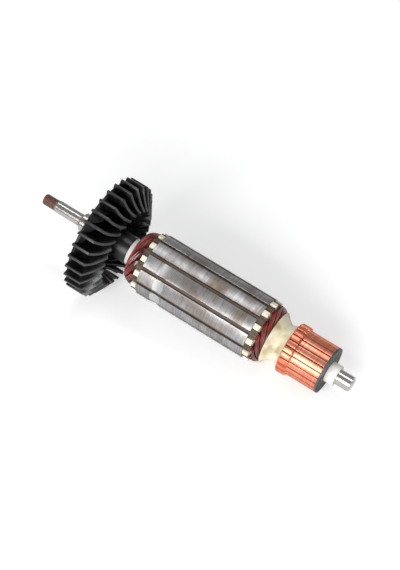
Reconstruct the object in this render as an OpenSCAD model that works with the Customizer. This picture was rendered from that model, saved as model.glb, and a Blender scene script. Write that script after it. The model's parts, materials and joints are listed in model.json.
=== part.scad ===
// Wound armature of a small commutator motor, with its cooling fan.
// It lies at rest: the fan's vane tips and the commutator's end ring touch the ground.
// Each piece is drawn upright with +Z along the shaft towards the commutator, Z = 0 at the
// middle of the drive bearing seat and +X up, and rest_place() then lays it down.

/* [Shaft] */
// Diameter of the drive bearing seat
bearing_seat_d = 10; // [9:0.5:11]
// Length of the drive bearing seat
bearing_seat_len = 10; // [8:0.5:12]
// Diameter of the seat for the drive pinion
gear_seat_d = 6.5; // [6:0.1:8]
// Length of the seat for the drive pinion
gear_seat_len = 14.8; // [10:0.1:20]
// Width of the relief groove beside the bearing shoulder
relief_w = 0.8; // [0.4:0.1:1.5]
// Depth of the relief groove
relief_depth = 0.25; // [0.1:0.05:0.5]
// Diameter of the threaded end over its crests
thread_d = 6; // [5:0.1:6]
// Length of the threaded end
thread_len = 8; // [5:0.5:12]
// Diameter of the shaft through the fan and the core
body_d = 10.4; // [10.2:0.1:11.4]
// Diameter of the shaft under the commutator and the end sleeve
end_body_d = 8.6; // [8.4:0.1:8.8]
// Chamfer at each end of the shaft
shaft_chamfer = 0.7; // [0.3:0.1:1.2]
// Diameter of the bearing seat past the end sleeve
end_seat_d = 8; // [7:0.5:8]
// Length of the shaft that stands out past the end sleeve
end_seat_len = 8.2; // [6:0.1:12]

/* [Cooling fan] */
// Diameter over the vane tips
fan_d = 62.9; // [58:0.1:66]
// Number of vanes
vane_count = 30; // [24:2:36]
// Thickness of a vane
vane_t = 1.3; // [1:0.1:1.8]
// Length of a vane's straight outer edge
vane_edge_len = 9.8; // [8:0.1:12]
// Rise of the vane from its outer corner to its inner tip
vane_rise = 6.4; // [4:0.1:8]
// Radius of the vane's inner tip
vane_tip_r = 20.9; // [19:0.1:23]
// Radius at the foot of the vane's inner edge
vane_foot_r = 16; // [16:0.1:17]
// Height of the vane's inner edge where it meets its foot
vane_foot_h = 8; // [7:0.1:9]
// Angle that the inner tip trails the outer edge by
vane_sweep = 9.5; // [8.5:0.5:9.5]
// Angle between the radius and the vane at its outer edge, negative when it leads
vane_rim_lean = -4; // [-4:0.5:2]
// Length by which the vanes stand out past the back plate
vane_overhang = 2.4; // [1:0.1:4]
// Thickness of the back plate
plate_t = 1.6; // [1.2:0.1:2.5]
// Height of the back plate's cone, from rim to hub
plate_dish = 7; // [4:0.1:7.5]
// Outside diameter of the fan's hub
hub_d = 15; // [14:0.5:17]
// Length of the fan's hub
hub_len = 19.2; // [17:0.1:21]
// Number of ribs in the corner between the hub and the back plate
hub_rib_count = 12; // [8:2:12]
// Width of such a rib
hub_rib_w = 1.2; // [0.8:0.1:1.6]
// Length of such a rib's two legs
hub_rib_leg = 1.6; // [1:0.1:2]
// Gap between the bearing seat and the fan
fan_gap = 0.7; // [0.3:0.1:2]

/* [Core] */
// Outside diameter of the lamination stack
core_d = 33; // [32:0.5:34]
// Length of the lamination stack
core_len = 62.4; // [50:0.1:75]
// Number of slots
slot_count = 12; // [11:1:12]
// Width of a slot's mouth at the outside
slot_mouth_w = 1.9; // [1.4:0.1:2.4]
// Thickness of a tooth's tip
tooth_tip_t = 1.2; // [1:0.1:1.4]
// Width of a tooth's neck
tooth_neck_w = 3.4; // [3:0.1:3.8]
// Thickness of the ring of steel below the slots
core_yoke_t = 3.1; // [2.7:0.1:3.3]
// Angle from straight up to the first tooth
core_turn = 1.8; // [0:0.1:30]
// Width of a balancing cut along the core
balance_cut_w = 6; // [4:0.1:8]
// Depth of a balancing cut
balance_cut_depth = 0.6; // [0.2:0.05:0.7]
// Distance of the balancing cuts from the core's drive end
balance_cut_pos = 11.3; // [5:0.1:30]

/* [Insulation] */
// Thickness of the insulating sleeve on the shaft
sleeve_t = 1.2; // [1:0.1:1.4]
// Thickness of the sleeve's collar beside the fan
collar_t = 1.9; // [1.4:0.1:2.2]
// Length of the sleeve's collar
collar_len = 3; // [2:0.1:3.4]
// Thickness of the end insulator on the drive side
drive_insulator_t = 2.9; // [2:0.1:3.5]
// Thickness of the end insulator on the commutator side
comm_insulator_t = 3.3; // [2:0.1:4]
// Width of an end insulator's tooth
insulator_tooth_w = 2.9; // [2.4:0.1:3.3]
// Depth of the end insulator's teeth below the core's outside
insulator_recess = 0.3; // [0.1:0.1:0.6]
// Thickness of the slot liner
liner_t = 0.25; // [0.2:0.05:0.35]
// Thickness of a slot wedge
wedge_t = 0.7; // [0.5:0.05:0.8]
// Length by which liners and wedges stand out past the end insulators
liner_overhang = 0.4; // [0.2:0.1:0.5]

/* [Winding] */
// Length of the end turns past the end insulator on the drive side
drive_turns_len = 6.8; // [6:0.1:9]
// Length of the end turns past the end insulator on the commutator side
comm_turns_len = 5.1; // [4:0.1:6]
// Thickness of the bundle of wire in an end turn
bundle_t = 2.4; // [1.8:0.1:2.6]
// Bulge of the end turns about their middle radius on the drive side
drive_bulge = 3.2; // [2.9:0.1:3.4]
// Bulge of the end turns about their middle radius on the commutator side
comm_bulge = 4; // [3.6:0.1:4.2]
// Length of the collar's stretch left bare between the hub and the end turns
bare_sleeve_len = 3.5; // [3.5:0.1:6]

/* [Lead cement] */
// Length of the cemented leads between the end turns and the commutator
cement_len = 8.8; // [8:0.1:12]
// Radius where the cement meets the end turns
cement_wide_r = 13.9; // [13:0.1:14.5]
// Radius of the waist
cement_waist_r = 9.9; // [9:0.1:10.5]
// Share of the cement's length at which its waist lies
cement_waist_at = 0.58; // [0.4:0.02:0.7]
// Radius where the cement meets the commutator
cement_end_r = 12.1; // [11:0.1:12.5]

/* [Commutator] */
// Number of bars for each slot
bars_per_slot = 2; // [1:1:2]
// Diameter of the brush track
track_d = 24.56; // [23.5:0.02:25.2]
// Length of the brush track
track_len = 15.6; // [12:0.1:18]
// Length of the bars' risers
riser_len = 5.9; // [5:0.1:7]
// Height of a riser above the brush track
riser_h = 0.6; // [0.3:0.1:0.8]
// Height of a hook above its riser
hook_h = 0.5; // [0.3:0.1:0.8]
// Width of a hook
hook_w = 2; // [1.6:0.1:2.2]
// Distance of a hook from its riser's end
hook_setback = 0.2; // [0.1:0.1:0.5]
// Chamfer round a hook's outer edge
hook_chamfer = 0.3; // [0.1:0.1:0.4]
// Width of the slit between two bars at the brush track
bar_gap = 0.6; // [0.4:0.05:0.8]
// Depth of a bar
bar_depth = 4; // [3:0.1:4.5]
// Depth of the undercut slit between two bars
undercut = 0.6; // [0.3:0.1:1]
// Thickness of the moulding's end ring
end_ring_t = 1.1; // [0.8:0.1:2]
// Angle from straight up to the first slit
commutator_turn = 1.4; // [0:0.1:15]
// Diameter of the end sleeve
end_sleeve_d = 10.8; // [10:0.1:12]
// Length of the end sleeve
end_sleeve_len = 5.1; // [3:0.1:8]
// Distance between the two keying notches in the end ring
notch_spread = 13; // [12.6:0.1:15]
// Angle from straight up to the first keying notch
notch_turn = 121.5; // [0:0.5:180]
// Width of a keying notch
notch_w = 1.6; // [1:0.1:2]
// Length of a keying notch along the radius
notch_len = 1.5; // [1:0.1:2]
// Depth of a keying notch
notch_depth = 0.8; // [0.4:0.1:1]

/* [Hidden] */
$fn = 64;
// Clearance that lets a loose piece slide into its place
slide_gap = 0.1;
// Clearance round a folded slot liner
liner_gap = 0.02;
// Overlap of two shapes that are joined into one piece
join = 0.4;
// Share of its room that the wire fills where an end turn enters a slot
wire_fill = 0.95;
// Angle that an end turn leans over as it leaves its slot
turn_lean = 8;
// Height at which an end turn starts to bow
turn_rise = 1.8;
// Gap between neighbouring end turns, as an angle
turn_gap = 6.4;
// Cross-sections along an end turn
turn_steps = 12;
// Cross-sections along the cement, and how sharply it flares from its waist
cement_steps = 14;
cement_flare = 1.6;
// Share of a wedge's crown that is flat
crown_flat = 0.7;

// Stations along the shaft
seat_z = -bearing_seat_len / 2;
relief_z = seat_z - relief_w;
thread_z = relief_z - gear_seat_len;
drive_tip_z = thread_z - thread_len;
fan_z = bearing_seat_len / 2 + fan_gap;
vane_corner_z = fan_z + vane_edge_len;
hub_front_z = fan_z + hub_len;
drive_nose_z = hub_front_z + bare_sleeve_len;
drive_face_z = drive_nose_z + drive_turns_len;
core_z = drive_face_z + drive_insulator_t;
core_end_z = core_z + core_len;
comm_face_z = core_end_z + comm_insulator_t;
comm_nose_z = comm_face_z + comm_turns_len;
riser_z = comm_nose_z + cement_len;
track_z = riser_z + riser_len;
ring_z = track_z + track_len;
end_sleeve_z = ring_z + end_ring_t;
end_seat_z = end_sleeve_z + end_sleeve_len;
body_end_z = riser_z - cement_len / 4;
comm_tip_z = end_seat_z + end_seat_len;

// Radii
seat_r = bearing_seat_d / 2;
shaft_r = body_d / 2;
end_body_r = end_body_d / 2;
end_seat_r = end_seat_d / 2;
fan_r = fan_d / 2;
plate_r = fan_r - vane_overhang;
hub_r = hub_d / 2;
core_r = core_d / 2;
sleeve_r = shaft_r + sleeve_t;
collar_r = shaft_r + collar_t;
track_r = track_d / 2;
riser_r = track_r + riser_h;
hook_r = riser_r + hook_h;
bar_root_r = track_r - bar_depth;

// Slots: a straight-sided tooth neck leaves a slot that narrows to a round bottom
slot_pitch = 360 / slot_count;
slot_top_r = core_r - tooth_tip_t;
slot_top_w = 2 * slot_top_r * sin(slot_pitch / 2) - tooth_neck_w;
slot_bottom_r = sleeve_r + core_yoke_t;
slot_floor_w = (2 * slot_bottom_r * sin(slot_pitch / 2) - tooth_neck_w) / (1 - sin(slot_pitch / 2));
slot_low_r = slot_bottom_r + slot_floor_w / 2;
wedge_low_r = slot_top_r - slide_gap - wedge_t;
coil_inset = liner_t + slide_gap;
coil_top_r = wedge_low_r - slide_gap;
coil_split_r = (coil_top_r + slot_bottom_r) / 2;
coil_span = floor(slot_count / 2) - 1;
turns_mid_r = coil_split_r - join;
balanced_teeth = [1, 2, 3, 4];

// Commutator
bar_count = slot_count * bars_per_slot;
bar_pitch = 360 / bar_count;
slit_angle = 2 * asin(bar_gap / 2 / track_r);

// Fan: a vane curves from its outer edge to its inner tip, then runs straight to its foot
blade_dx = fan_r - vane_tip_r * cos(vane_sweep);
blade_dy = vane_tip_r * sin(vane_sweep);
blade_turn = 2 * (atan2(blade_dy, blade_dx) - vane_rim_lean);
blade_curve_r = norm([blade_dx, blade_dy]) / (2 * sin(blade_turn / 2));
foot_lean = vane_rim_lean + blade_turn;
vane_pitch = 360 / vane_count;
plate_slope = plate_dish / (plate_r - hub_r);

// Rest: two vane corners and the end ring's edge lie on the ground
tip_half_angle = asin(vane_t / 2 / cos(vane_rim_lean) / fan_r);
contact_r = fan_r * cos(vane_pitch / 2 - tip_half_angle);
rest_tilt = atan((contact_r - track_r) / (end_sleeve_z - vane_corner_z));

// Lays a piece down at rest, with the origin on the shaft's axis in the drive bearing seat
module rest_place() rotate([0, 90 + rest_tilt, 0]) rotate([0, 0, 180]) children();

// Solid of revolution between two stations
module turned(z, len, r) translate([0, 0, z]) cylinder(h = len, r = r);

// Tube between two stations
module tube(z, len, outer, inner) {
    difference() {
        turned(z, len, outer);
        turned(z - 1, len + 2, inner);
    }
}

// Ground steel shaft: threaded end, pinion seat, relief, bearing seat, body and end seat.
// The body is a little thicker than each bearing seat, which gives the bearing its shoulder.
module shaft() {
    color("silver") rest_place() rotate_extrude() polygon([
        [0, drive_tip_z],
        [thread_d / 2 - shaft_chamfer, drive_tip_z],
        [thread_d / 2, drive_tip_z + shaft_chamfer],
        [thread_d / 2, thread_z],
        [gear_seat_d / 2, thread_z],
        [gear_seat_d / 2, relief_z],
        [gear_seat_d / 2 - relief_depth, relief_z],
        [gear_seat_d / 2 - relief_depth, seat_z],
        [seat_r, seat_z],
        [seat_r, -seat_z],
        [shaft_r, -seat_z],
        [shaft_r, body_end_z],
        [end_body_r, body_end_z],
        [end_body_r, end_seat_z],
        [end_seat_r, end_seat_z],
        [end_seat_r, comm_tip_z - shaft_chamfer],
        [end_seat_r - shaft_chamfer, comm_tip_z],
        [0, comm_tip_z]
    ]);
}

// Outline that every vane is trimmed to: radius and height above the fan's back
module vane_outline() {
    polygon([
        [vane_foot_r, fan_z + plate_slope * (plate_r - vane_foot_r) + plate_t / 2],
        [plate_r - join, fan_z + plate_t / 2],
        [plate_r - join, fan_z],
        [fan_r, fan_z],
        [fan_r, vane_corner_z],
        [vane_tip_r, vane_corner_z + vane_rise],
        [vane_foot_r, fan_z + vane_foot_h]
    ]);
}

// One vane before it is trimmed: an upright curved wall and the straight wall of its foot
module vane_wall() {
    wall_h = vane_edge_len + vane_rise + 2;
    translate([0, 0, fan_z - 1]) {
        translate([fan_r + blade_curve_r * sin(vane_rim_lean), -blade_curve_r * cos(vane_rim_lean), 0])
            rotate(90 - blade_turn / 4)
                rotate_extrude(angle = foot_lean + blade_turn / 4)
                    translate([blade_curve_r - vane_t / 2, 0]) square([vane_t, wall_h]);
        translate([fan_r - blade_dx, -blade_dy, 0])
            rotate(180 + foot_lean)
                translate([0, -vane_t / 2, 0])
                    cube([vane_tip_r * cos(foot_lean + vane_sweep), vane_t, wall_h]);
    }
}

// Moulded fan: hub, dished back plate, ribs in the corner between them, and curved vanes
module cooling_fan() {
    color("#1c1c1f") rest_place() {
        intersection() {
            for (i = [0 : vane_count - 1]) rotate(180 + (i + 0.5) * vane_pitch) vane_wall();
            rotate_extrude() vane_outline();
        }
        rotate_extrude() polygon([
            [hub_r - join, fan_z + plate_dish],
            [plate_r, fan_z],
            [plate_r, fan_z + plate_t],
            [hub_r - join, fan_z + plate_dish + plate_t]
        ]);
        for (i = [0 : hub_rib_count - 1])
            rotate((i + 0.5) * 360 / hub_rib_count)
                translate([hub_r - join, hub_rib_w / 2, fan_z + plate_dish + plate_t - join])
                    rotate([90, 0, 0])
                        linear_extrude(hub_rib_w)
                            polygon([
                                [0, -join],
                                [join + hub_rib_leg, -join],
                                [join + hub_rib_leg, 0],
                                [join, join + hub_rib_leg],
                                [0, join + hub_rib_leg]
                            ]);
        tube(fan_z, hub_len, hub_r, shaft_r);
    }
}

// Moulded sleeve that insulates the core and winding from the shaft, with a collar at the fan
module shaft_sleeve() {
    color("#f4f2ea") rest_place() {
        tube(hub_front_z, collar_len, collar_r, shaft_r);
        tube(hub_front_z, comm_nose_z - hub_front_z, sleeve_r, shaft_r);
    }
}

// Slot below the tooth tips, drawn towards +X and narrower all round by the inset
module slot_section(inset) {
    top = slot_top_w / 2 - inset;
    floor_half = slot_floor_w / 2 - inset;
    polygon([
        [slot_low_r, -floor_half],
        [slot_top_r - inset, -top],
        [slot_top_r - inset, top],
        [slot_low_r, floor_half]
    ]);
    translate([slot_low_r, 0]) circle(r = floor_half);
}

// Repeats a shape at every slot
module each_slot() {
    for (i = [0 : slot_count - 1])
        rotate(core_turn + (i + 0.5) * slot_pitch) children();
}

// Stack of stamped steel sheets with closed-mouth slots and three balancing cuts
module lamination_stack() {
    cutter_r = (pow(balance_cut_w / 2, 2) + pow(balance_cut_depth, 2)) / (2 * balance_cut_depth);
    color("#a8a8a8") rest_place() difference() {
        translate([0, 0, core_z]) linear_extrude(core_len) difference() {
            circle(r = core_r);
            circle(r = sleeve_r);
            each_slot() {
                slot_section(0);
                translate([slot_top_r - join, -slot_mouth_w / 2])
                    square([tooth_tip_t + 2 * join, slot_mouth_w]);
            }
        }
        for (i = balanced_teeth)
            rotate(core_turn + i * slot_pitch)
                translate([core_r - balance_cut_depth + cutter_r, 0, core_z + balance_cut_pos])
                    rotate([90, 0, 0])
                        cylinder(h = 2 * core_r * sin(slot_pitch / 2), r = cutter_r, center = true);
    }
}

// Moulded end insulator: a ring with one narrow block behind each tooth
module end_insulator(z, thick) {
    color("#f4ecd8") rest_place() translate([0, 0, z]) linear_extrude(thick) difference() {
        union() {
            circle(r = slot_bottom_r - slide_gap);
            intersection() {
                circle(r = core_r - insulator_recess);
                for (i = [0 : slot_count - 1])
                    rotate(core_turn + i * slot_pitch)
                        translate([slot_bottom_r - 2 * join, -insulator_tooth_w / 2])
                            square([core_r, insulator_tooth_w]);
            }
        }
        circle(r = sleeve_r);
    }
}

module drive_end_insulator() end_insulator(drive_face_z, drive_insulator_t);
module commutator_end_insulator() end_insulator(core_end_z, comm_insulator_t);

// Folded paper liners, one U-shaped sheet in each slot
module slot_liners() {
    liner_z = drive_face_z - liner_overhang;
    liner_len = comm_face_z + liner_overhang - liner_z;
    color("#cdb48a") rest_place() translate([0, 0, liner_z]) linear_extrude(liner_len)
        each_slot() difference() {
            intersection() {
                slot_section(liner_gap);
                translate([0, -core_r]) square([wedge_low_r - slide_gap / 2, 2 * core_r]);
            }
            slot_section(liner_t);
        }
}

// Strip that closes one slot below the tooth tips
module slot_wedge(i) {
    half_top = slot_top_w / 2 - slide_gap;
    half_low = half_top - wedge_t * tan(slot_pitch / 2);
    crown = slot_mouth_w / 2 - slide_gap;
    wedge_z = drive_face_z - liner_overhang;
    color("#d8c4a8") rest_place() rotate(core_turn + (i - 0.5) * slot_pitch)
        translate([0, 0, wedge_z])
            linear_extrude(comm_face_z + liner_overhang - wedge_z)
                polygon([
                    [wedge_low_r, -half_low],
                    [slot_top_r - slide_gap, -half_top],
                    [slot_top_r - slide_gap, -crown],
                    [slot_top_r + tooth_tip_t / 3, -crown * crown_flat],
                    [slot_top_r + tooth_tip_t / 3, crown * crown_flat],
                    [slot_top_r - slide_gap, crown],
                    [slot_top_r - slide_gap, half_top],
                    [wedge_low_r, half_low]
                ]);
}

// Half width of the room that the wire has in a slot, at a radius
function wire_half_w(r) = slot_floor_w / 2 - coil_inset
    + (slot_top_w - slot_floor_w) / 2 * (r - slot_low_r) / (slot_top_r - slot_low_r);

// Closed skin over a row of rings that have the same number of points
module skin(rings) {
    n = len(rings[0]);
    last = len(rings) - 1;
    sides = [for (k = [0 : last - 1], j = [0 : n - 1])
        let (a = k * n + j, b = k * n + (j + 1) % n)
            each [[a, b + n, b], [a, a + n, b + n]]];
    first_cap = [for (j = [1 : n - 2]) [0, j, j + 1]];
    last_cap = [for (j = [1 : n - 2]) [last * n, last * n + j + 1, last * n + j]];
    polyhedron(points = [for (ring = rings) each ring], faces = concat(sides, first_cap, last_cap));
}

// One cross-section of an end turn: an outer and an inner edge, each a radius and a height,
// spread over twice the angle w about the angle a
function turn_ring(outer, inner, a, w) = concat(
    [for (s = [-1, 0, 1]) [outer[0] * cos(a + s * w), outer[0] * sin(a + s * w), outer[1]]],
    [for (s = [1, 0, -1]) [inner[0] * cos(a + s * w), inner[0] * sin(a + s * w), inner[1]]]
);

// End turn of a coil: it leaves the upper half of one slot, bows out over coil_span slots
// and dives into the lower half of another
module end_turn(reach, bulge) {
    span_angle = coil_span * slot_pitch;
    spread = (slot_pitch - turn_gap) / 2;
    fold = asin(turn_rise / reach);
    up_low = coil_split_r + join;
    up_high = coil_top_r - slide_gap;
    low_low = slot_low_r - slot_floor_w / 4;
    low_high = coil_split_r - join;
    up_w = asin(wire_half_w(up_low) / up_low) * wire_fill;
    low_w = asin(wire_half_w(slot_low_r) / low_high) * wire_fill;
    inner_bulge = bulge - bundle_t;
    inner_reach = reach - bundle_t;
    skin(concat(
        [for (h = [-join, 1.5 * join]) turn_ring([up_high, h], [up_low, h], 0, up_w)],
        [for (k = [0 : turn_steps])
            let (q = fold + (180 - 2 * fold) * k / turn_steps,
                 a = turn_lean + (span_angle - 2 * turn_lean) * k / turn_steps)
            turn_ring([turns_mid_r + bulge * cos(q), reach * sin(q)],
                      [turns_mid_r + inner_bulge * cos(q), inner_reach * sin(q)], a, spread)],
        [for (h = [1.5 * join, -join]) turn_ring([low_low, h], [low_high, h], span_angle, low_w)]
    ));
}

// Straight part of a coil in one half of a slot, from radius r1 to radius r2
module coil_side(r1, r2) {
    z1 = drive_face_z - join / 2;
    z2 = comm_face_z + join / 2;
    translate([0, 0, z1]) linear_extrude(z2 - z1) polygon([
        [r1, -wire_half_w(r1)],
        [r2, -wire_half_w(r2)],
        [r2, wire_half_w(r2)],
        [r1, wire_half_w(r1)]
    ]);
}

// Coil of enamelled wire: two slot sides and the end turns that join them
module coil(i) {
    color("#7a2a20") rest_place() rotate(core_turn + (i - 0.5) * slot_pitch) {
        coil_side(coil_split_r + slide_gap, coil_top_r);
        rotate(coil_span * slot_pitch) coil_side(slot_low_r, coil_split_r - slide_gap);
        translate([0, 0, comm_face_z]) end_turn(comm_turns_len, comm_bulge);
        translate([0, 0, drive_face_z]) mirror([0, 0, 1]) end_turn(drive_turns_len, drive_bulge);
    }
}

// Radius of the cement at a share of its length
function cement_r(f) = f < cement_waist_at
    ? cement_waist_r + (cement_wide_r - cement_waist_r) * pow(1 - f / cement_waist_at, cement_flare)
    : cement_waist_r + (cement_end_r - cement_waist_r)
        * pow((f - cement_waist_at) / (1 - cement_waist_at), cement_flare);

// Cement that holds the coil leads between the end turns and the risers
module lead_cement() {
    color("#e8e2c8") rest_place() difference() {
        rotate_extrude() polygon(concat(
            [[0, riser_z], [0, comm_nose_z]],
            [for (k = [0 : cement_steps])
                [cement_r(k / cement_steps), comm_nose_z + cement_len * k / cement_steps]]
        ));
        turned(comm_nose_z - 1, body_end_z - comm_nose_z + 1, shaft_r);
        turned(body_end_z - 1, riser_z - body_end_z + 2, end_body_r);
    }
}

// Moulded commutator body: a core on the shaft, thin ribs between the bars and an end ring
module commutator_moulding() {
    color("#4a4848") rest_place() difference() {
        union() {
            turned(riser_z, end_sleeve_z - riser_z, bar_root_r);
            turned(ring_z, end_ring_t, track_r);
            for (i = [0 : bar_count - 1])
                rotate(commutator_turn + i * bar_pitch - slit_angle / 2)
                    rotate_extrude(angle = slit_angle)
                        translate([bar_root_r - join, riser_z])
                            square([track_r - undercut - bar_root_r + join, ring_z - riser_z + join]);
        }
        turned(riser_z - 1, end_sleeve_z - riser_z + 2, end_body_r);
        for (half_turn = [0, 180])
            rotate(notch_turn + half_turn)
                translate([notch_spread / 2, 0, end_sleeve_z - notch_depth])
                    linear_extrude(notch_depth + 1)
                        polygon([
                            [-notch_len / 3, 0],
                            [notch_len * 2 / 3, -notch_w / 2],
                            [notch_len * 2 / 3, notch_w / 2]
                        ]);
    }
}

// Hard copper bar with its riser and the hook that grips the coil lead
module commutator_bar(i) {
    hook_start_z = riser_z + hook_setback;
    hook_end_z = track_z - riser_h;
    color("#e88868") rest_place() rotate(commutator_turn + (i - 0.5) * bar_pitch) {
        rotate(slit_angle / 2 - bar_pitch / 2)
            rotate_extrude(angle = bar_pitch - slit_angle) polygon([
                [bar_root_r, riser_z],
                [riser_r, riser_z],
                [riser_r, track_z - riser_h],
                [track_r, track_z],
                [track_r, ring_z],
                [bar_root_r, ring_z]
            ]);
        intersection() {
            rotate_extrude() polygon([
                [track_r - join, hook_start_z],
                [hook_r - hook_chamfer, hook_start_z],
                [hook_r, hook_start_z + hook_chamfer],
                [hook_r, hook_end_z - 2 * hook_chamfer],
                [hook_r - hook_chamfer, hook_end_z],
                [track_r - join, hook_end_z]
            ]);
            translate([0, -hook_w / 2, riser_z]) cube([hook_r + 1, hook_w, riser_len]);
        }
    }
}

// White spacer between the commutator and the end bearing
module end_sleeve() {
    color("#f2f2ee") rest_place() tube(end_sleeve_z, end_sleeve_len, end_sleeve_d / 2, end_body_r);
}

shaft();
cooling_fan();
shaft_sleeve();
lamination_stack();
drive_end_insulator();
commutator_end_insulator();
slot_liners();
for (i = [1 : slot_count]) slot_wedge(i);
for (i = [1 : slot_count]) coil(i);
lead_cement();
commutator_moulding();
end_sleeve();
for (i = [1 : bar_count])
    commutator_bar(i);
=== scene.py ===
import json
import math

import bmesh
import bpy
from mathutils import Matrix, Vector


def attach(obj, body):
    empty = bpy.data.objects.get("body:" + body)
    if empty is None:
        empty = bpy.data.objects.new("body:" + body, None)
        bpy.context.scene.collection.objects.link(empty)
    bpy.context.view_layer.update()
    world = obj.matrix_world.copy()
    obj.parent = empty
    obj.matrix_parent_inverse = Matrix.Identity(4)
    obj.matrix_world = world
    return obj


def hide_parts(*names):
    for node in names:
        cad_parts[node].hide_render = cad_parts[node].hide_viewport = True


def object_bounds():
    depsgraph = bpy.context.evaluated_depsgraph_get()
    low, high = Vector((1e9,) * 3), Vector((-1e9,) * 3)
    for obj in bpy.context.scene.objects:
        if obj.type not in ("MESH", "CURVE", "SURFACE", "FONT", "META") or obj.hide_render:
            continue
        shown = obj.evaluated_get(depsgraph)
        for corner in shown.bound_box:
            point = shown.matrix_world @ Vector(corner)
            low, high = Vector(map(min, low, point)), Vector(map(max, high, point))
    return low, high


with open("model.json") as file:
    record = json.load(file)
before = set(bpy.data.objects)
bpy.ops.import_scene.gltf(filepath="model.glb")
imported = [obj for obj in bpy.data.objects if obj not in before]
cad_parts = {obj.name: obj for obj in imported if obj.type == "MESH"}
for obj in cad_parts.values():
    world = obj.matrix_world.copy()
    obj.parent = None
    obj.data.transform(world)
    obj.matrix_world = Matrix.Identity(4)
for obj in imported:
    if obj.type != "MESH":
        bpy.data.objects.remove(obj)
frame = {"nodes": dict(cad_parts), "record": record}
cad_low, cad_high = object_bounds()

MM = 0.001

# ---------------------------------------------------------------- shaft axis
# The armature lies on its fan and its commutator, so the shaft dips a little. Every piece below
# is worked out upright, with Z along the shaft, and TO_ROW then lays it where the frame has it.
mounts = {m["name"]: m for m in frame["record"]["mounts"]}
axis = Vector(mounts["end_bearing_seat"]["axis"]).normalized()
across = Vector((0, -1, 0))
upward = across.cross(axis)
TO_ROW = Matrix((upward, across, axis)).transposed().to_4x4()
TO_ROTOR = TO_ROW.inverted()


def span(node):
    """Lowest and highest station, and smallest and largest radius, of a node of the frame."""
    points = [TO_ROTOR @ v.co for v in frame["nodes"][node].data.vertices]
    heights = [p.z for p in points]
    radii = [math.hypot(p.x, p.y) for p in points]
    return min(heights), max(heights), min(radii), max(radii)


def station(mount):
    """Station of a mount along the shaft, with its radius and half its length."""
    m = mounts[mount]
    dims = m["dims"]
    return (Vector(m["pos_m"]).dot(axis), dims.get("r_mm", 0) * MM, dims.get("length_mm", 0) * MM / 2)


# -------------------------------------------------------- floor, light, camera
# A plain pale floor under soft studio light, seen through a long lens from above the side.
# The lamps are softboxes placed by their angle round the core.
def srgb(code):
    """Linear colour of an sRGB hex value."""
    parts = [int(code[i:i + 2], 16) / 255 for i in (1, 3, 5)]
    return [c / 12.92 if c <= 0.04045 else ((c + 0.055) / 1.055) ** 2.4 for c in parts] + [1]


def add(tree, kind, inputs=None, **settings):
    """Adds a node; inputs are constants or the sockets that feed them."""
    made = tree.nodes.new(kind)
    for key, value in settings.items():
        setattr(made, key, value)
    for key, value in (inputs or {}).items():
        if isinstance(value, bpy.types.NodeSocket):
            tree.links.new(value, made.inputs[key])
        else:
            made.inputs[key].default_value = value
    return made


def blank_material(name):
    """A new material with an empty tree and its output."""
    made = bpy.data.materials.new(name)
    made.use_nodes = True
    made.node_tree.nodes.clear()
    return made, made.node_tree, made.node_tree.nodes.new("ShaderNodeOutputMaterial")


scene = bpy.context.scene
scene.view_settings.view_transform = "Standard"
SKY_STRENGTH = 0.32
PAPER_GLOW = 0.32
world = bpy.data.worlds.new("studio")
scene.world = world
world.use_nodes = True
studio = world.node_tree
studio.nodes.clear()
light_path = add(studio, "ShaderNodeLightPath")
seen = add(studio, "ShaderNodeMath", {0: light_path.outputs["Is Camera Ray"],
                                      1: light_path.outputs["Is Transmission Ray"]},
           operation="MAXIMUM")
soft_light = add(studio, "ShaderNodeBackground", {"Color": srgb("#f4f6f8"), "Strength": SKY_STRENGTH})
backdrop = add(studio, "ShaderNodeBackground", {"Color": (1, 1, 1, 1), "Strength": 1.0})
either = add(studio, "ShaderNodeMixShader", {0: seen.outputs[0], 1: soft_light.outputs[0],
                                             2: backdrop.outputs[0]})
add(studio, "ShaderNodeOutputWorld", {"Surface": either.outputs[0]})

floor_z = cad_low.z
bpy.ops.mesh.primitive_plane_add(size=6, location=(cad_low.x / 2 + cad_high.x / 2, 0, floor_z))
floor = bpy.context.object
floor.name = "floor"
paper, tree, out = blank_material("matt_white_paper")
paper_light = add(tree, "ShaderNodeLightPath")
paper_diffuse = add(tree, "ShaderNodeBsdfDiffuse", {"Color": srgb("#f4f4f4")})
paper_glow = add(tree, "ShaderNodeEmission", {"Color": (1, 1, 1, 1), "Strength": PAPER_GLOW})
paper_sum = add(tree, "ShaderNodeAddShader", {0: paper_diffuse.outputs[0], 1: paper_glow.outputs[0]})
paper_mix = add(tree, "ShaderNodeMixShader", {0: paper_light.outputs["Is Camera Ray"],
                                              1: paper_diffuse.outputs[0], 2: paper_sum.outputs[0]})
tree.links.new(paper_mix.outputs[0], out.inputs["Surface"])
floor.data.materials.append(paper)

# The camera looks at the shaft from this side of it, and sees the commutator's end a little
FACING_TURN = math.radians(31.5)
FACING_TILT = math.radians(14.1)
PICTURE_ROLL = math.radians(31.24)
SENSOR_WIDTH = 36
LENS_LENGTH = 111.4105
VIEW_DISTANCE = 866.5 * MM
SHIFT_RIGHT = 2.014 * MM
SHIFT_UP = 2.4561 * MM

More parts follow.
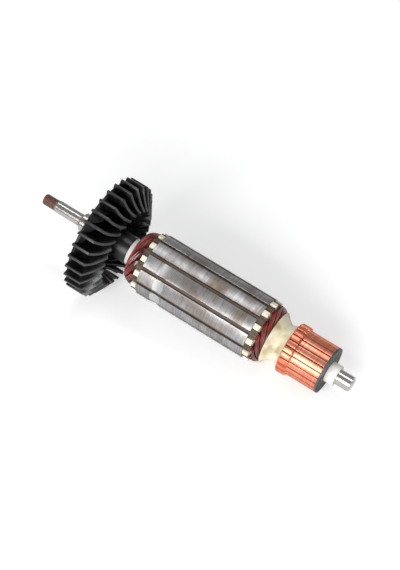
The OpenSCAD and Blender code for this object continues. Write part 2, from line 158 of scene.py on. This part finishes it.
facing = math.cos(FACING_TURN) * upward + math.sin(FACING_TURN) * across
beside = axis.cross(facing)
back = math.cos(FACING_TILT) * facing + math.sin(FACING_TILT) * axis
along = (axis - math.sin(FACING_TILT) * back) / math.cos(FACING_TILT)
right = math.cos(PICTURE_ROLL) * along - math.sin(PICTURE_ROLL) * beside
over = -math.sin(PICTURE_ROLL) * along - math.cos(PICTURE_ROLL) * beside
core_span = span("lamination_stack")
PIVOT_REACH = 25 * MM
pivot = axis * (core_span[0] + PIVOT_REACH)
lens = bpy.data.cameras.new("camera")
lens.sensor_width = SENSOR_WIDTH
lens.lens = LENS_LENGTH
lens.clip_start, lens.clip_end = 0.01, 50
camera = bpy.data.objects.new("camera", lens)
scene.collection.objects.link(camera)
camera.matrix_world = Matrix((right, over, back)).transposed().to_4x4()
camera.location = pivot + back * VIEW_DISTANCE + right * SHIFT_RIGHT + over * SHIFT_UP
scene.camera = camera
LAMP_DISTANCE = 0.9


def softbox(name, turn, lean, size, power):
    """Area light that faces the core from an angle round the shaft and along it. Its size is
    its width across the shaft and its length along it."""
    turn, lean = math.radians(turn), math.radians(lean)
    way = (math.cos(lean) * (math.cos(turn) * facing + math.sin(turn) * beside)
           + math.sin(lean) * axis)
    length = (axis - axis.dot(way) * way).normalized()
    light = bpy.data.lights.new(name, "AREA")
    light.shape = "RECTANGLE"
    light.size, light.size_y = size
    light.energy = power
    lamp = bpy.data.objects.new(name, light)
    scene.collection.objects.link(lamp)
    lamp.matrix_world = Matrix((length.cross(way), length, way)).transposed().to_4x4()
    lamp.location = pivot + way * LAMP_DISTANCE


softbox("key_softbox", 30, 8, (0.42, 0.9), 9.0)
softbox("top_softbox", -50, 0, (0.2, 0.8), 2.4)
softbox("low_strip", 82, 0, (0.12, 0.8), 1.2)


# ------------------------------------------------------------------ the shaft
# One bar of medium-carbon steel, turned and ground. Its drive end has a fine thread, gone brown
# with rust, then the pinion's seat, a relief groove and the bearing's seat.
def rotor_position(tree):
    """Coordinates in the upright rotor's own frame, in metres."""
    place = add(tree, "ShaderNodeTexCoord")
    return add(tree, "ShaderNodeMapping",
               {"Vector": place.outputs["Object"], "Rotation": TO_ROTOR.to_euler()}).outputs[0]


def ramp(tree, factor, stops):
    """Colour ramp from pairs of position and sRGB hex value."""
    made = add(tree, "ShaderNodeValToRGB", {"Fac": factor})
    elements = made.color_ramp.elements
    while len(elements) < len(stops):
        elements.new(0.5)
    for element, (at, code) in zip(elements, stops):
        element.position = at
        element.color = srgb(code)
    return made.outputs["Color"]


def height_of(tree, at):
    """Height of a point along the shaft."""
    return add(tree, "ShaderNodeSeparateXYZ", {0: at}).outputs["Z"]


def radius_of(tree, at):
    """Distance of a point from the shaft's axis."""
    flat = add(tree, "ShaderNodeVectorMath", {0: at, 1: (1, 1, 0)}, operation="MULTIPLY")
    return add(tree, "ShaderNodeVectorMath", {0: flat.outputs[0]}, operation="LENGTH").outputs["Value"]


def fade(tree, value, low, high, start=0.0, end=1.0):
    """Clamped straight change from start at low to end at high."""
    return add(tree, "ShaderNodeMapRange", {"Value": value, "From Min": low, "From Max": high,
                                            "To Min": start, "To Max": end}).outputs[0]


def maths(tree, operation, one, other=0.0):
    """Result of a maths node on one or two values."""
    return add(tree, "ShaderNodeMath", {0: one, 1: other}, operation=operation).outputs[0]


def blend(tree, factor, one, other, kind="MIX"):
    """Mix of two colours; each is a socket or an sRGB hex value."""
    one = srgb(one) if isinstance(one, str) else one
    other = srgb(other) if isinstance(other, str) else other
    return add(tree, "ShaderNodeMix", {"Factor": factor, "A": one, "B": other}, data_type="RGBA",
               blend_type=kind).outputs["Result"]


def noise(tree, at, scale, detail=4.0, stretch=None):
    """Noise factor; scale is per metre, stretch multiplies it along the rotor's axes."""
    if stretch:
        at = add(tree, "ShaderNodeMapping", {"Vector": at, "Scale": stretch}).outputs[0]
    return add(tree, "ShaderNodeTexNoise", {"Vector": at, "Scale": scale,
                                            "Detail": detail}).outputs["Fac"]


def principled(tree, out, inputs):
    """Principled surface that goes to the material's output."""
    made = add(tree, "ShaderNodeBsdfPrincipled", inputs)
    tree.links.new(made.outputs[0], out.inputs["Surface"])


def lathe(profile, turns, shape=None):
    """Points and faces of a profile of radius and height turned about the shaft. shape changes
    a radius from its height and angle."""
    points, faces, rows = [], [], []
    for r, z in profile:
        if r < 1e-7:
            rows.append([len(points)] * turns)
            points.append((0, 0, z))
            continue
        rows.append(list(range(len(points), len(points) + turns)))
        for k in range(turns):
            a = 2 * math.pi * k / turns
            rr = shape(r, z, a) if shape else r
            points.append((rr * math.cos(a), rr * math.sin(a), z))
    for low, high in zip(rows, rows[1:]):
        for k in range(turns):
            corners = [low[k], low[(k + 1) % turns], high[(k + 1) % turns], high[k]]
            corners = [c for i, c in enumerate(corners) if c not in corners[:i]]
            if len(corners) > 2:
                faces.append(corners)
    return points, faces


def rough_piece(name, points, faces):
    """An object made from points of the upright rotor, in metres, before it is finished."""
    mesh = bpy.data.meshes.new(name)
    mesh.from_pydata(points, [], faces)
    obj = bpy.data.objects.new(name, mesh)
    scene.collection.objects.link(obj)
    return obj


def face_outwards(mesh, weld=0.0):
    """Turns a mesh's faces outwards, once points within a distance are welded."""
    work = bmesh.new()
    work.from_mesh(mesh)
    if weld:
        bmesh.ops.remove_doubles(work, verts=work.verts, dist=weld)
    bmesh.ops.recalc_face_normals(work, faces=work.faces)
    work.to_mesh(mesh)
    work.free()


def soften(obj, width, angle):
    """Bevels the edges that turn by more than an angle in degrees."""
    rounding = obj.modifiers.new("edges", "BEVEL")
    rounding.width, rounding.segments, rounding.limit_method = width, 2, "ANGLE"
    rounding.angle_limit = math.radians(angle)
    bake(obj)


def hang(obj, sharp, stands_for=()):
    """Smooths a piece below an angle in degrees and hangs it on the part's one body."""
    obj.data.shade_smooth()
    obj.data.set_sharp_from_angle(angle=math.radians(sharp))
    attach(obj, "root")
    if stands_for:
        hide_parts(*stands_for)


def finish_piece(obj, smooth, stands_for=(), bevel=None):
    """Welds a rough piece, lays it down, softens its edges and hangs it on the body."""
    face_outwards(obj.data, WELD)
    obj.data.transform(TO_ROW)
    if bevel:
        soften(obj, bevel, smooth)
    hang(obj, smooth, stands_for)


def turned_piece(name, profile, turns, material, smooth, stands_for=(), shape=None):
    """A finished piece turned about the shaft from a profile."""
    obj = rough_piece(name, *lathe(profile, turns, shape))
    obj.data.materials.append(material)
    finish_piece(obj, smooth, stands_for)


def bake(obj):
    """Turns the object's modifiers into plain mesh."""
    graph = bpy.context.evaluated_depsgraph_get()
    graph.update()
    mesh = bpy.data.meshes.new_from_object(obj.evaluated_get(graph))
    materials = list(obj.data.materials)
    obj.modifiers.clear()
    obj.data = mesh
    if not mesh.materials:
        for m in materials:
            mesh.materials.append(m)


def ground_steel():
    """Ground carbon steel: fine rings round the shaft, and rust on the thread and its groove."""
    made, tree, out = blank_material("ground_carbon_steel")
    at = rotor_position(tree)
    z = height_of(tree, at)
    rings = noise(tree, at, 1.0, 3.0, (40, 40, 9000))
    blots = noise(tree, at, 1400.0)
    metal = ramp(tree, rings, [(0.3, "#b9b6b1"), (0.7, "#dcdad6")])
    rust = ramp(tree, blots, [(0.35, "#4a2a22"), (0.55, "#7d4c3e"), (0.75, "#a98a7c")])
    on_thread = fade(tree, z, thread_z + 0.6 * MM, thread_z - 0.6 * MM)
    gap = maths(tree, "ABSOLUTE", maths(tree, "SUBTRACT", z, gear_z + gear_half))
    in_groove = fade(tree, gap, 1.6 * MM, 0.4 * MM)
    rusty = maths(tree, "MAXIMUM", on_thread, maths(tree, "MULTIPLY", in_groove, blots))
    rusty = maths(tree, "MULTIPLY", rusty, fade(tree, blots, 0.3, 0.5, 0.55, 1.0))
    bump = add(tree, "ShaderNodeBump", {"Height": rings, "Strength": 0.12, "Distance": 0.04 * MM})
    principled(tree, out, {
        "Base Color": blend(tree, rusty, metal, rust),
        "Metallic": fade(tree, rusty, 0.0, 1.0, 1.0, 0.35),
        "Roughness": fade(tree, rusty, 0.0, 1.0, 0.2, 0.6), "Normal": bump.outputs[0]})
    return made


WELD = 1e-7
THREAD_PITCH = 1.0 * MM
THREAD_DEPTH = 0.55 * MM
THREAD_R = 3.0 * MM
THREAD_STEPS = 96
RELIEF_DEPTH = 0.25 * MM
CHAMFER = 0.7 * MM
EASE = 0.12 * MM
tip_z, end_tip_z, _, body_r = span("shaft")
gear_z, gear_r, gear_half = station("gear_seat")
drive_z, drive_r, drive_half = station("drive_bearing_seat")
end_z, end_r, _ = station("end_bearing_seat")
sleeve_span = span("end_sleeve")
end_body_r = sleeve_span[2]
thread_z = gear_z - gear_half


def thread_form(r, z, a):
    """Radius on the thread's flank: a round-bottomed helical groove that fades out at its ends."""
    if not tip_z + 0.2 * MM < z < thread_z - 0.15 * MM or r < THREAD_R * 0.7:
        return r
    turn = (z / THREAD_PITCH - a / (2 * math.pi)) % 1
    wave = 0.5 + 0.5 * math.cos(2 * math.pi * turn)
    run_out = min(1, (thread_z - z) / THREAD_PITCH)
    return r - THREAD_DEPTH * wave ** 0.8 * run_out


profile = [(0, tip_z), (THREAD_R - CHAMFER - 0.4 * MM, tip_z), (THREAD_R - CHAMFER, tip_z + 0.15 * MM)]
for k in range(THREAD_STEPS + 1):
    z = tip_z + 0.2 * MM + (thread_z - tip_z - 0.35 * MM) * k / THREAD_STEPS
    profile.append((min(THREAD_R, THREAD_R - CHAMFER + (z - tip_z)), z))
profile += [(THREAD_R, thread_z - 0.1 * MM), (gear_r - EASE, thread_z), (gear_r, thread_z + EASE)]
profile += [(gear_r, gear_z + gear_half), (gear_r - RELIEF_DEPTH, gear_z + gear_half + 0.1 * MM)]
profile += [(gear_r - RELIEF_DEPTH, drive_z - drive_half - 0.05 * MM), (gear_r, drive_z - drive_half)]
profile += [(drive_r - 4 * EASE, drive_z - drive_half), (drive_r, drive_z - drive_half + 4 * EASE)]
profile += [(drive_r, drive_z + drive_half), (body_r, drive_z + drive_half), (body_r, core_span[0])]
profile += [(end_body_r, core_span[1]), (end_body_r, sleeve_span[1]), (end_r, sleeve_span[1])]
profile += [(end_r, end_z), (end_r, end_tip_z - CHAMFER)]
profile += [(end_r - EASE, end_tip_z - CHAMFER + EASE), (end_r - CHAMFER, end_tip_z - EASE)]
profile += [(end_r - CHAMFER - EASE, end_tip_z), (0, end_tip_z)]
turned_piece("ground_shaft", profile, 96, ground_steel(), 30, ["shaft"], thread_form)


# -------------------------------------------------------------- the cooling fan
# One moulding of glass-filled black nylon: a hub pressed on the shaft, a dished plate, and thin
# swept vanes whose trimmed front edges catch the light.
def ring_of(name, count, first_turn, material):
    """Geometry Nodes tree that repeats a mesh evenly round the shaft's axis."""
    group = bpy.data.node_groups.new(name, "GeometryNodeTree")
    face = group.interface
    face.new_socket("Geometry", in_out="INPUT", socket_type="NodeSocketGeometry")
    counted = face.new_socket("Count", in_out="INPUT", socket_type="NodeSocketInt")
    turned = face.new_socket("First turn", in_out="INPUT", socket_type="NodeSocketFloat")
    face.new_socket("Geometry", in_out="OUTPUT", socket_type="NodeSocketGeometry")
    given = group.nodes.new("NodeGroupInput")
    result = group.nodes.new("NodeGroupOutput")
    dots = add(group, "GeometryNodePoints", {"Count": given.outputs["Count"]})
    index = add(group, "GeometryNodeInputIndex")
    step = add(group, "ShaderNodeMath", {0: 2 * math.pi, 1: given.outputs["Count"]}, operation="DIVIDE")
    turn = add(group, "ShaderNodeMath", {0: index.outputs[0], 1: step.outputs[0],
                                         2: given.outputs["First turn"]}, operation="MULTIPLY_ADD")
    about_z = add(group, "ShaderNodeCombineXYZ", {"Z": turn.outputs[0]})
    copies = add(group, "GeometryNodeInstanceOnPoints", {
        "Points": dots.outputs[0], "Instance": given.outputs["Geometry"], "Rotation": about_z.outputs[0]})
    real = add(group, "GeometryNodeRealizeInstances", {"Geometry": copies.outputs[0]})
    painted = add(group, "GeometryNodeSetMaterial", {"Geometry": real.outputs[0], "Material": material})
    group.links.new(painted.outputs[0], result.inputs["Geometry"])
    return group, {counted.identifier: count, turned.identifier: first_turn}


def repeat_round(obj, count, first_turn, material):
    """Repeats an object's mesh round the shaft and makes the result plain mesh."""
    group, values = ring_of(obj.name + "_ring", count, first_turn, material)
    ring = obj.modifiers.new("ring", "NODES")
    ring.node_group = group
    for identifier, value in values.items():
        ring[identifier] = value
    bake(obj)


def filled_nylon():
    """Moulded black nylon: satin skin, slightly mottled, with a painted highlight in paler grey along the
    vanes' front edges and rims.
    """
    made, tree, out = blank_material("moulded_black_nylon")
    at = rotor_position(tree)
    z = height_of(tree, at)
    r = radius_of(tree, at)
    mottle = noise(tree, at, 300.0, 6.0)
    grain = noise(tree, at, 1500.0, 3.0)
    colour = ramp(tree, mottle, [(0.35, "#0a0a0b"), (0.55, "#121213"), (0.72, "#232326")])
    # Painted highlight: the vanes' front edges and rims are painted a paler grey, broken up by grain.
    front = maths(tree, "MULTIPLY", maths(tree, "SUBTRACT", fan_r, r),
                  VANE_RISE / (fan_r - VANE_TIP_R))
    front = maths(tree, "SUBTRACT", maths(tree, "ADD", front, fan_back + VANE_EDGE), z)
    near_front = fade(tree, front, 0.55 * MM, 0.15 * MM)
    near_front = maths(tree, "MULTIPLY", near_front, fade(tree, r, VANE_TIP_R - 0.4 * MM, VANE_TIP_R))
    near_rim = fade(tree, r, fan_r - 0.5 * MM, fan_r - 0.15 * MM)
    painted_edge_highlight = maths(tree, "MAXIMUM", near_front, near_rim)
    painted_edge_highlight = maths(tree, "MULTIPLY", painted_edge_highlight, fade(tree, grain, 0.35, 0.6, 0.4, 1.0))
    colour = blend(tree, painted_edge_highlight, colour, "#3e3e41")
    rough = fade(tree, mottle, 0.3, 0.7, 0.26, 0.42)
    bump = add(tree, "ShaderNodeBump", {"Height": maths(tree, "ADD", grain, mottle), "Strength": 0.25,
                                        "Distance": 0.12 * MM})
    principled(tree, out, {
        "Base Color": colour, "Roughness": rough, "IOR": 1.53, "Normal": bump.outputs[0]})
    return made


fan_back, hub_front, fan_bore, fan_r = span("cooling_fan")
VANES = 30
VANE_T = 1.3 * MM
VANE_OVERHANG = 2.4 * MM
VANE_EDGE_ROUND = 0.28 * MM
VANE_SWEEP = math.radians(9.5)
VANE_RIM_LEAN = math.radians(-4)
VANE_EDGE = 9.8 * MM
VANE_RISE = 6.4 * MM
VANE_TIP_R = 20.9 * MM
VANE_FOOT_R = 16.0 * MM
VANE_FOOT_H = 8.0 * MM
PLATE_T = 1.6 * MM
PLATE_DISH = 7.0 * MM
HUB_R = 7.5 * MM
plate_r = fan_r - VANE_OVERHANG
plate_slope = PLATE_DISH / (plate_r - HUB_R)
rim_point = Vector((fan_r, 0))
tip_point = Vector((VANE_TIP_R * math.cos(VANE_SWEEP), -VANE_TIP_R * math.sin(VANE_SWEEP)))
chord = tip_point - rim_point
half_turn = math.atan2(-chord.y, -chord.x) - VANE_RIM_LEAN
curve_r = chord.length / (2 * math.sin(half_turn))
HALVINGS = 40


def vane_line(share):
    """Point and heading of a vane's middle line: curved up to share 1, straight beyond it."""
    heading = VANE_RIM_LEAN + 2 * half_turn * min(share, 1)
    x = fan_r - curve_r * (math.sin(heading) - math.sin(VANE_RIM_LEAN))
    y = curve_r * (math.cos(heading) - math.cos(VANE_RIM_LEAN))
    run = max(0, share - 1) * chord.length
    return Vector((x - math.cos(heading) * run, y - math.sin(heading) * run)), heading


def vane_point(r, z, side):
    """Point of a vane at a radius and height, on one of its two sides."""
    low, high = (0.0, 1.0) if r >= VANE_TIP_R - 1e-9 else (1.0, 2.2)
    for _ in range(HALVINGS):
        middle = (low + high) / 2
        if vane_line(middle)[0].length > r:
            low = middle
        else:
            high = middle
    at, heading = vane_line(low)
    return at.x - side * math.sin(heading) * VANE_T / 2, at.y + side * math.cos(heading) * VANE_T / 2, z


def vane_bottom(r):
    """Height at which a vane ends towards the back, inside the plate except past its rim."""
    if r > plate_r - 0.3 * MM:
        return fan_back
    return fan_back + plate_slope * (plate_r - r) + PLATE_T / 2


def vane_top(r):
    """Height of a vane's trimmed front edge."""
    if r > VANE_TIP_R:
        return fan_back + VANE_EDGE + VANE_RISE * (fan_r - r) / (fan_r - VANE_TIP_R)
    share = (r - VANE_FOOT_R) / (VANE_TIP_R - VANE_FOOT_R)
    return fan_back + VANE_FOOT_H + (VANE_EDGE + VANE_RISE - VANE_FOOT_H) * share


VANE_STEPS = 12
outermost = fan_r - 0.01 * MM
radii = {outermost - (outermost - VANE_FOOT_R) * k / VANE_STEPS for k in range(VANE_STEPS + 1)}
radii = sorted(radii | {VANE_TIP_R, plate_r - 0.29 * MM, plate_r - 0.31 * MM}, reverse=True)
row = len(radii)
vane_points = [vane_point(r, edge(r), side) for side in (-1, 1) for edge in (vane_bottom, vane_top)
               for r in radii]
vane_faces = []
for k in range(row - 1):
    for one, other in ((0, 1), (1, 3), (3, 2), (2, 0)):
        one, other = one * row + k, other * row + k
        vane_faces.append([one, one + 1, other + 1, other])
vane_faces += [[0, row, 3 * row, 2 * row], [k * row + row - 1 for k in (0, 1, 3, 2)]]
nylon = filled_nylon()
vanes = rough_piece("fan_vanes", vane_points, vane_faces)
face_outwards(vanes.data)
soften(vanes, VANE_EDGE_ROUND, 40)
repeat_round(vanes, VANES, math.pi + math.pi / VANES, nylon)
finish_piece(vanes, 40)

FILLET = 1.2 * MM
hub_profile = [
    (fan_bore, fan_back), (HUB_R - 0.3 * MM, fan_back), (HUB_R, fan_back + 0.3 * MM),
    (HUB_R, fan_back + PLATE_DISH - FILLET / 3), (HUB_R + FILLET / 3, fan_back + PLATE_DISH),
    (plate_r - 0.3 * MM, fan_back + 0.05 * MM), (plate_r, fan_back + 0.3 * MM),
    (plate_r, fan_back + PLATE_T - 0.2 * MM), (plate_r - 0.2 * MM, fan_back + PLATE_T),
    (HUB_R + FILLET, fan_back + PLATE_DISH + PLATE_T), (HUB_R, fan_back + PLATE_DISH + PLATE_T + FILLET),
    (HUB_R - 0.1 * MM, hub_front - 0.4 * MM), (HUB_R - 0.4 * MM, hub_front), (fan_bore, hub_front),
    (fan_bore, fan_back),
]
turned_piece("fan_hub_and_plate", hub_profile, 120, nylon, 40)

HUB_RIBS = 12
RIB_W = 1.2 * MM
RIB_LEG = 1.6 * MM
RIB_ROOT = 0.3 * MM
RIB_FOOT = 0.4 * MM
rib_edge = [(HUB_R - RIB_ROOT, -RIB_FOOT), (HUB_R + RIB_LEG, -RIB_FOOT), (HUB_R + RIB_LEG, 0),
            (HUB_R, RIB_LEG), (HUB_R - RIB_ROOT, RIB_LEG)]
rib_z = fan_back + PLATE_DISH + PLATE_T
rib_points = [(r, side * RIB_W / 2, rib_z + h) for side in (-1, 1) for r, h in rib_edge]
rib_faces = [[0, 1, 2, 3, 4], [5, 6, 7, 8, 9]]
rib_faces += [[k, (k + 1) % 5, 5 + (k + 1) % 5, 5 + k] for k in range(5)]
ribs = rough_piece("fan_hub_ribs", rib_points, rib_faces)
repeat_round(ribs, HUB_RIBS, math.pi / HUB_RIBS, nylon)
finish_piece(ribs, 40, bevel=0.1 * MM)
for part in ("fan_vanes", "fan_hub_and_plate", "fan_hub_ribs"):
    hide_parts("cooling_fan")


# --------------------------------------------------------- the lamination stack
# Stamped sheets of silicon steel, half a millimetre thick, pressed on the sleeve. The outside is
# turned true after winding, four teeth are milled to balance it, and old heat has stained it.
NODE_WELD = 2e-6
FLAT_WITHIN = math.radians(0.5)
EDGE_TURN = 30


def dressed(node, material, bevel, sharp=40):
    """A welded copy of a frame node that stands for it, its edges softened by millimetres."""
    mesh = frame["nodes"][node].data.copy()
    mesh.materials.clear()
    mesh.materials.append(material)
    obj = bpy.data.objects.new(node + "_finished", mesh)
    scene.collection.objects.link(obj)
    work = bmesh.new()
    work.from_mesh(mesh)
    bmesh.ops.remove_doubles(work, verts=work.verts, dist=NODE_WELD)
    bmesh.ops.dissolve_limit(work, angle_limit=FLAT_WITHIN, verts=work.verts, edges=work.edges)
    work.to_mesh(mesh)
    work.free()
    if bevel:
        soften(obj, bevel * MM, EDGE_TURN)
    hang(obj, sharp, [node])


def near(tree, at, radius, turn, height, reach):
    """1 at a spot of the rotor given by radius, angle in degrees and height, 0 beyond reach."""
    turn = math.radians(turn)
    spot = (radius * math.cos(turn), radius * math.sin(turn), height)
    gap = add(tree, "ShaderNodeVectorMath", {0: at, 1: spot}, operation="DISTANCE").outputs["Value"]
    return fade(tree, gap, reach, reach * 0.25)


CUT_Z = core_span[0] + 11.3 * MM
CUT_HALF_W = 3.05 * MM
# Angle round the shaft, distance from the core's drive end, and reach of each heat stain
HEAT_SPOTS = [(4, 36 * MM, 22 * MM), (20, 52 * MM, 12 * MM)]


def lamination_steel():
    """Turned silicon steel: fine sheet lines across the shaft, brown heat stain, dull sheen, and
    bare metal in the milled balancing cuts, painted brighter to stand in for their reflection."""
    made, tree, out = blank_material("turned_silicon_steel")
    at = rotor_position(tree)
    z = height_of(tree, at)
    r = radius_of(tree, at)
    sheets = noise(tree, at, 1.0, 4.0, (90, 90, 2400))
    cloud = noise(tree, at, 110.0, 6.0)
    fleck = noise(tree, at, 800.0, 5.0)
    metal = ramp(tree, sheets, [(0.3, "#97979a"), (0.5, "#adadae"), (0.7, "#c6c4c2")])
    spots = [near(tree, at, core_span[3], turn, core_span[0] + height, reach)
             for turn, height, reach in HEAT_SPOTS]
    heat = maths(tree, "MAXIMUM", *spots)
    heat = maths(tree, "MULTIPLY", heat, fade(tree, cloud, 0.3, 0.6))
    toned = blend(tree, maths(tree, "MULTIPLY", heat, 0.62), metal, "#75604f")
    stain = ramp(tree, cloud, [(0.42, "#ffffff"), (0.56, "#e2d6cd"), (0.75, "#b09c90")])
    toned = blend(tree, 0.6, toned, stain, "MULTIPLY")
    flecked = ramp(tree, fleck, [(0.3, "#9a8a80"), (0.42, "#ffffff")])
    colour = blend(tree, 0.45, toned, flecked, "MULTIPLY")
    # The milled cuts show bare metal without the stains, and they are painted brighter as well, as a
    # painted reflection.
    off = maths(tree, "ABSOLUTE", maths(tree, "SUBTRACT", z, CUT_Z))
    milled = maths(tree, "MULTIPLY", fade(tree, off, CUT_HALF_W, CUT_HALF_W - 0.1 * MM),
                   fade(tree, r, core_span[3] - 0.01 * MM, core_span[3] - 0.05 * MM))
    colour = blend(tree, milled, colour, "#d4d3d2")
    rough = maths(tree, "SUBTRACT", fade(tree, cloud, 0.35, 0.7, 0.38, 0.5),
                  maths(tree, "MULTIPLY", milled, 0.1))
    bump = add(tree, "ShaderNodeBump", {"Height": sheets, "Strength": 0.22, "Distance": 0.06 * MM})
    principled(tree, out, {
        "Base Color": colour, "Metallic": 0.9, "Roughness": rough, "Normal": bump.outputs[0]})
    return made


dressed("lamination_stack", lamination_steel(), bevel=0.1, sharp=12)


# ------------------------------------------------------------------- insulation
# Cream moulded end insulators, folded brown paper liners and tan strips that close the slots.
# All are matt and slightly fibrous, and the strips carry painted shade where they meet the steel.
def matt_insulator(name, stops, roughness, scale=300.0):
    """Matt insulating board or moulding with a cloudy tone."""
    made, tree, out = blank_material(name)
    at = rotor_position(tree)
    colour = ramp(tree, noise(tree, at, scale, 5.0), stops)
    fibre = noise(tree, at, 2500.0, 2.0)
    bump = add(tree, "ShaderNodeBump", {"Height": fibre, "Strength": 0.3, "Distance": 0.06 * MM})
    principled(tree, out, {
        "Base Color": colour, "Roughness": roughness, "IOR": 1.5, "Normal": bump.outputs[0]})
    return made


def closing_strip_board():
    """Tan board of the closing strips, with painted shade: deep brown along its edges where it lies
    beside the steel teeth, for the shadowed gap there.
    """
    made, tree, out = blank_material("tan_closing_strip_board")
    at = rotor_position(tree)
    part = add(tree, "ShaderNodeSeparateXYZ", {0: at})
    turn = maths(tree, "ARCTAN2", part.outputs["Y"], part.outputs["X"])
    pitch = 2 * math.pi / SLOTS
    turn = maths(tree, "WRAP", maths(tree, "SUBTRACT", turn, CORE_TURN), pitch)
    off = maths(tree, "ABSOLUTE", maths(tree, "SUBTRACT", turn, pitch / 2))
    cloud = noise(tree, at, 260.0, 5.0)
    streak = noise(tree, at, 1.0, 4.0, (900, 900, 120))
    off = maths(tree, "ADD", off, maths(tree, "MULTIPLY", maths(tree, "SUBTRACT", streak, 0.5), 0.02))
    # Painted shade: the strip's edges along the teeth are painted deep brown to stand for the shadowed
    # gap between strip and tooth.
    painted_gap_shade = fade(tree, off, math.radians(1.9), math.radians(2.7))
    colour = ramp(tree, cloud, [(0.3, "#a48b70"), (0.5, "#cdb89c"), (0.7, "#e4d8c6")])
    colour = blend(tree, maths(tree, "MULTIPLY", painted_gap_shade, 0.9), colour, "#38251a")
    bump = add(tree, "ShaderNodeBump", {"Height": streak, "Strength": 0.3, "Distance": 0.08 * MM})
    principled(tree, out, {
        "Base Color": colour, "Roughness": 0.6, "IOR": 1.5, "Normal": bump.outputs[0]})
    return made


SLOTS = 12
CORE_TURN = math.radians(1.8)
cream = matt_insulator("moulded_cream_insulator",
                       [(0.3, "#d9c9a8"), (0.5, "#f1e8d3"), (0.7, "#fbf6ea")], 0.45)
paper_board = matt_insulator("tan_slot_paper", [(0.3, "#8f7458"), (0.5, "#c2a688"), (0.72, "#e0d0ba")],
                             0.6)
white_plastic = matt_insulator("moulded_white_plastic",
                               [(0.3, "#dddbd4"), (0.6, "#eae9e4")], 0.4, scale=120.0)
for node in ("drive_end_insulator", "commutator_end_insulator"):
    dressed(node, cream, bevel=0.2)
dressed("slot_liners", paper_board, bevel=0)
strip_board = closing_strip_board()
for i in range(1, SLOTS + 1):
    dressed(f"slot_wedge_{i}", strip_board, bevel=0.1)
dressed("shaft_sleeve", white_plastic, bevel=0.2)
dressed("end_sleeve", white_plastic, bevel=0.25)


# ------------------------------------------------------------------ the winding
# Twelve coils of enamelled copper wire, varnished dark red. Only the end turns show, bowed over
# from slot to slot at both ends of the core.
def wire_enamel():
    """Enamelled copper wire under baked varnish: clouded red-brown, glossy."""
    made, tree, out = blank_material("varnished_enamelled_wire")
    at = rotor_position(tree)
    colour = ramp(tree, noise(tree, at, 220.0), [
        (0.32, "#3a1214"), (0.5, "#6b1f1c"), (0.66, "#93352a"), (0.8, "#b4553c")])
    principled(tree, out, {
        "Base Color": colour, "Roughness": 0.3, "IOR": 1.55, "Coat Weight": 0.5,
        "Coat Roughness": 0.15})
    return made


enamel = wire_enamel()
for i in range(1, SLOTS + 1):
    obj = frame["nodes"][f"coil_{i}"]
    obj.data.materials.clear()
    obj.data.materials.append(enamel)


# -------------------------------------------------------------- the lead cement
# Ivory epoxy cement, brushed over the coil leads between the winding and the bars, and cured. It
# fills the waist between them with one glossy cone.
def cured_cement():
    """Cured ivory epoxy: glossy, a little translucent, clouded with brown."""
    made, tree, out = blank_material("cured_ivory_epoxy")
    at = rotor_position(tree)
    colour = ramp(tree, noise(tree, at, 160.0), [(0.3, "#b5a684"), (0.45, "#d9cfae"), (0.65, "#ece6d0")])
    principled(tree, out, {
        "Base Color": colour, "Roughness": 0.28, "IOR": 1.52, "Subsurface Weight": 0.15,
        "Subsurface Radius": (0.002, 0.0015, 0.001), "Subsurface Scale": 0.5})
    return made


dressed("lead_cement", cured_cement(), bevel=0)


# ---------------------------------------------------------------- the commutator
# Twenty-four hard copper bars moulded into a dark phenolic body. Brushes have polished the track,
# and each bar ends in a riser with a hook for its leads.
def brush_track_copper():
    """Turned hard copper, with fine rings round the shaft."""
    made, tree, out = blank_material("turned_commutator_copper")
    rings = noise(tree, rotor_position(tree), 1.0, 3.0, (30, 30, 5000))
    copper = ramp(tree, rings, [(0.3, "#d9785a"), (0.5, "#ec9274"), (0.7, "#f8b497")])
    principled(tree, out, {"Base Color": copper, "Metallic": 0.9, "Roughness": 0.35})
    return made


BARS = 24
copper = brush_track_copper()
for i in range(1, BARS + 1):
    dressed(f"commutator_bar_{i}", copper, bevel=0.08)
phenolic = matt_insulator("moulded_grey_phenolic", [(0.3, "#3c3b3b"), (0.6, "#5b5958"), (0.8, "#858180")],
                          0.5, scale=500.0)
dressed("commutator_moulding", phenolic, bevel=0.12)
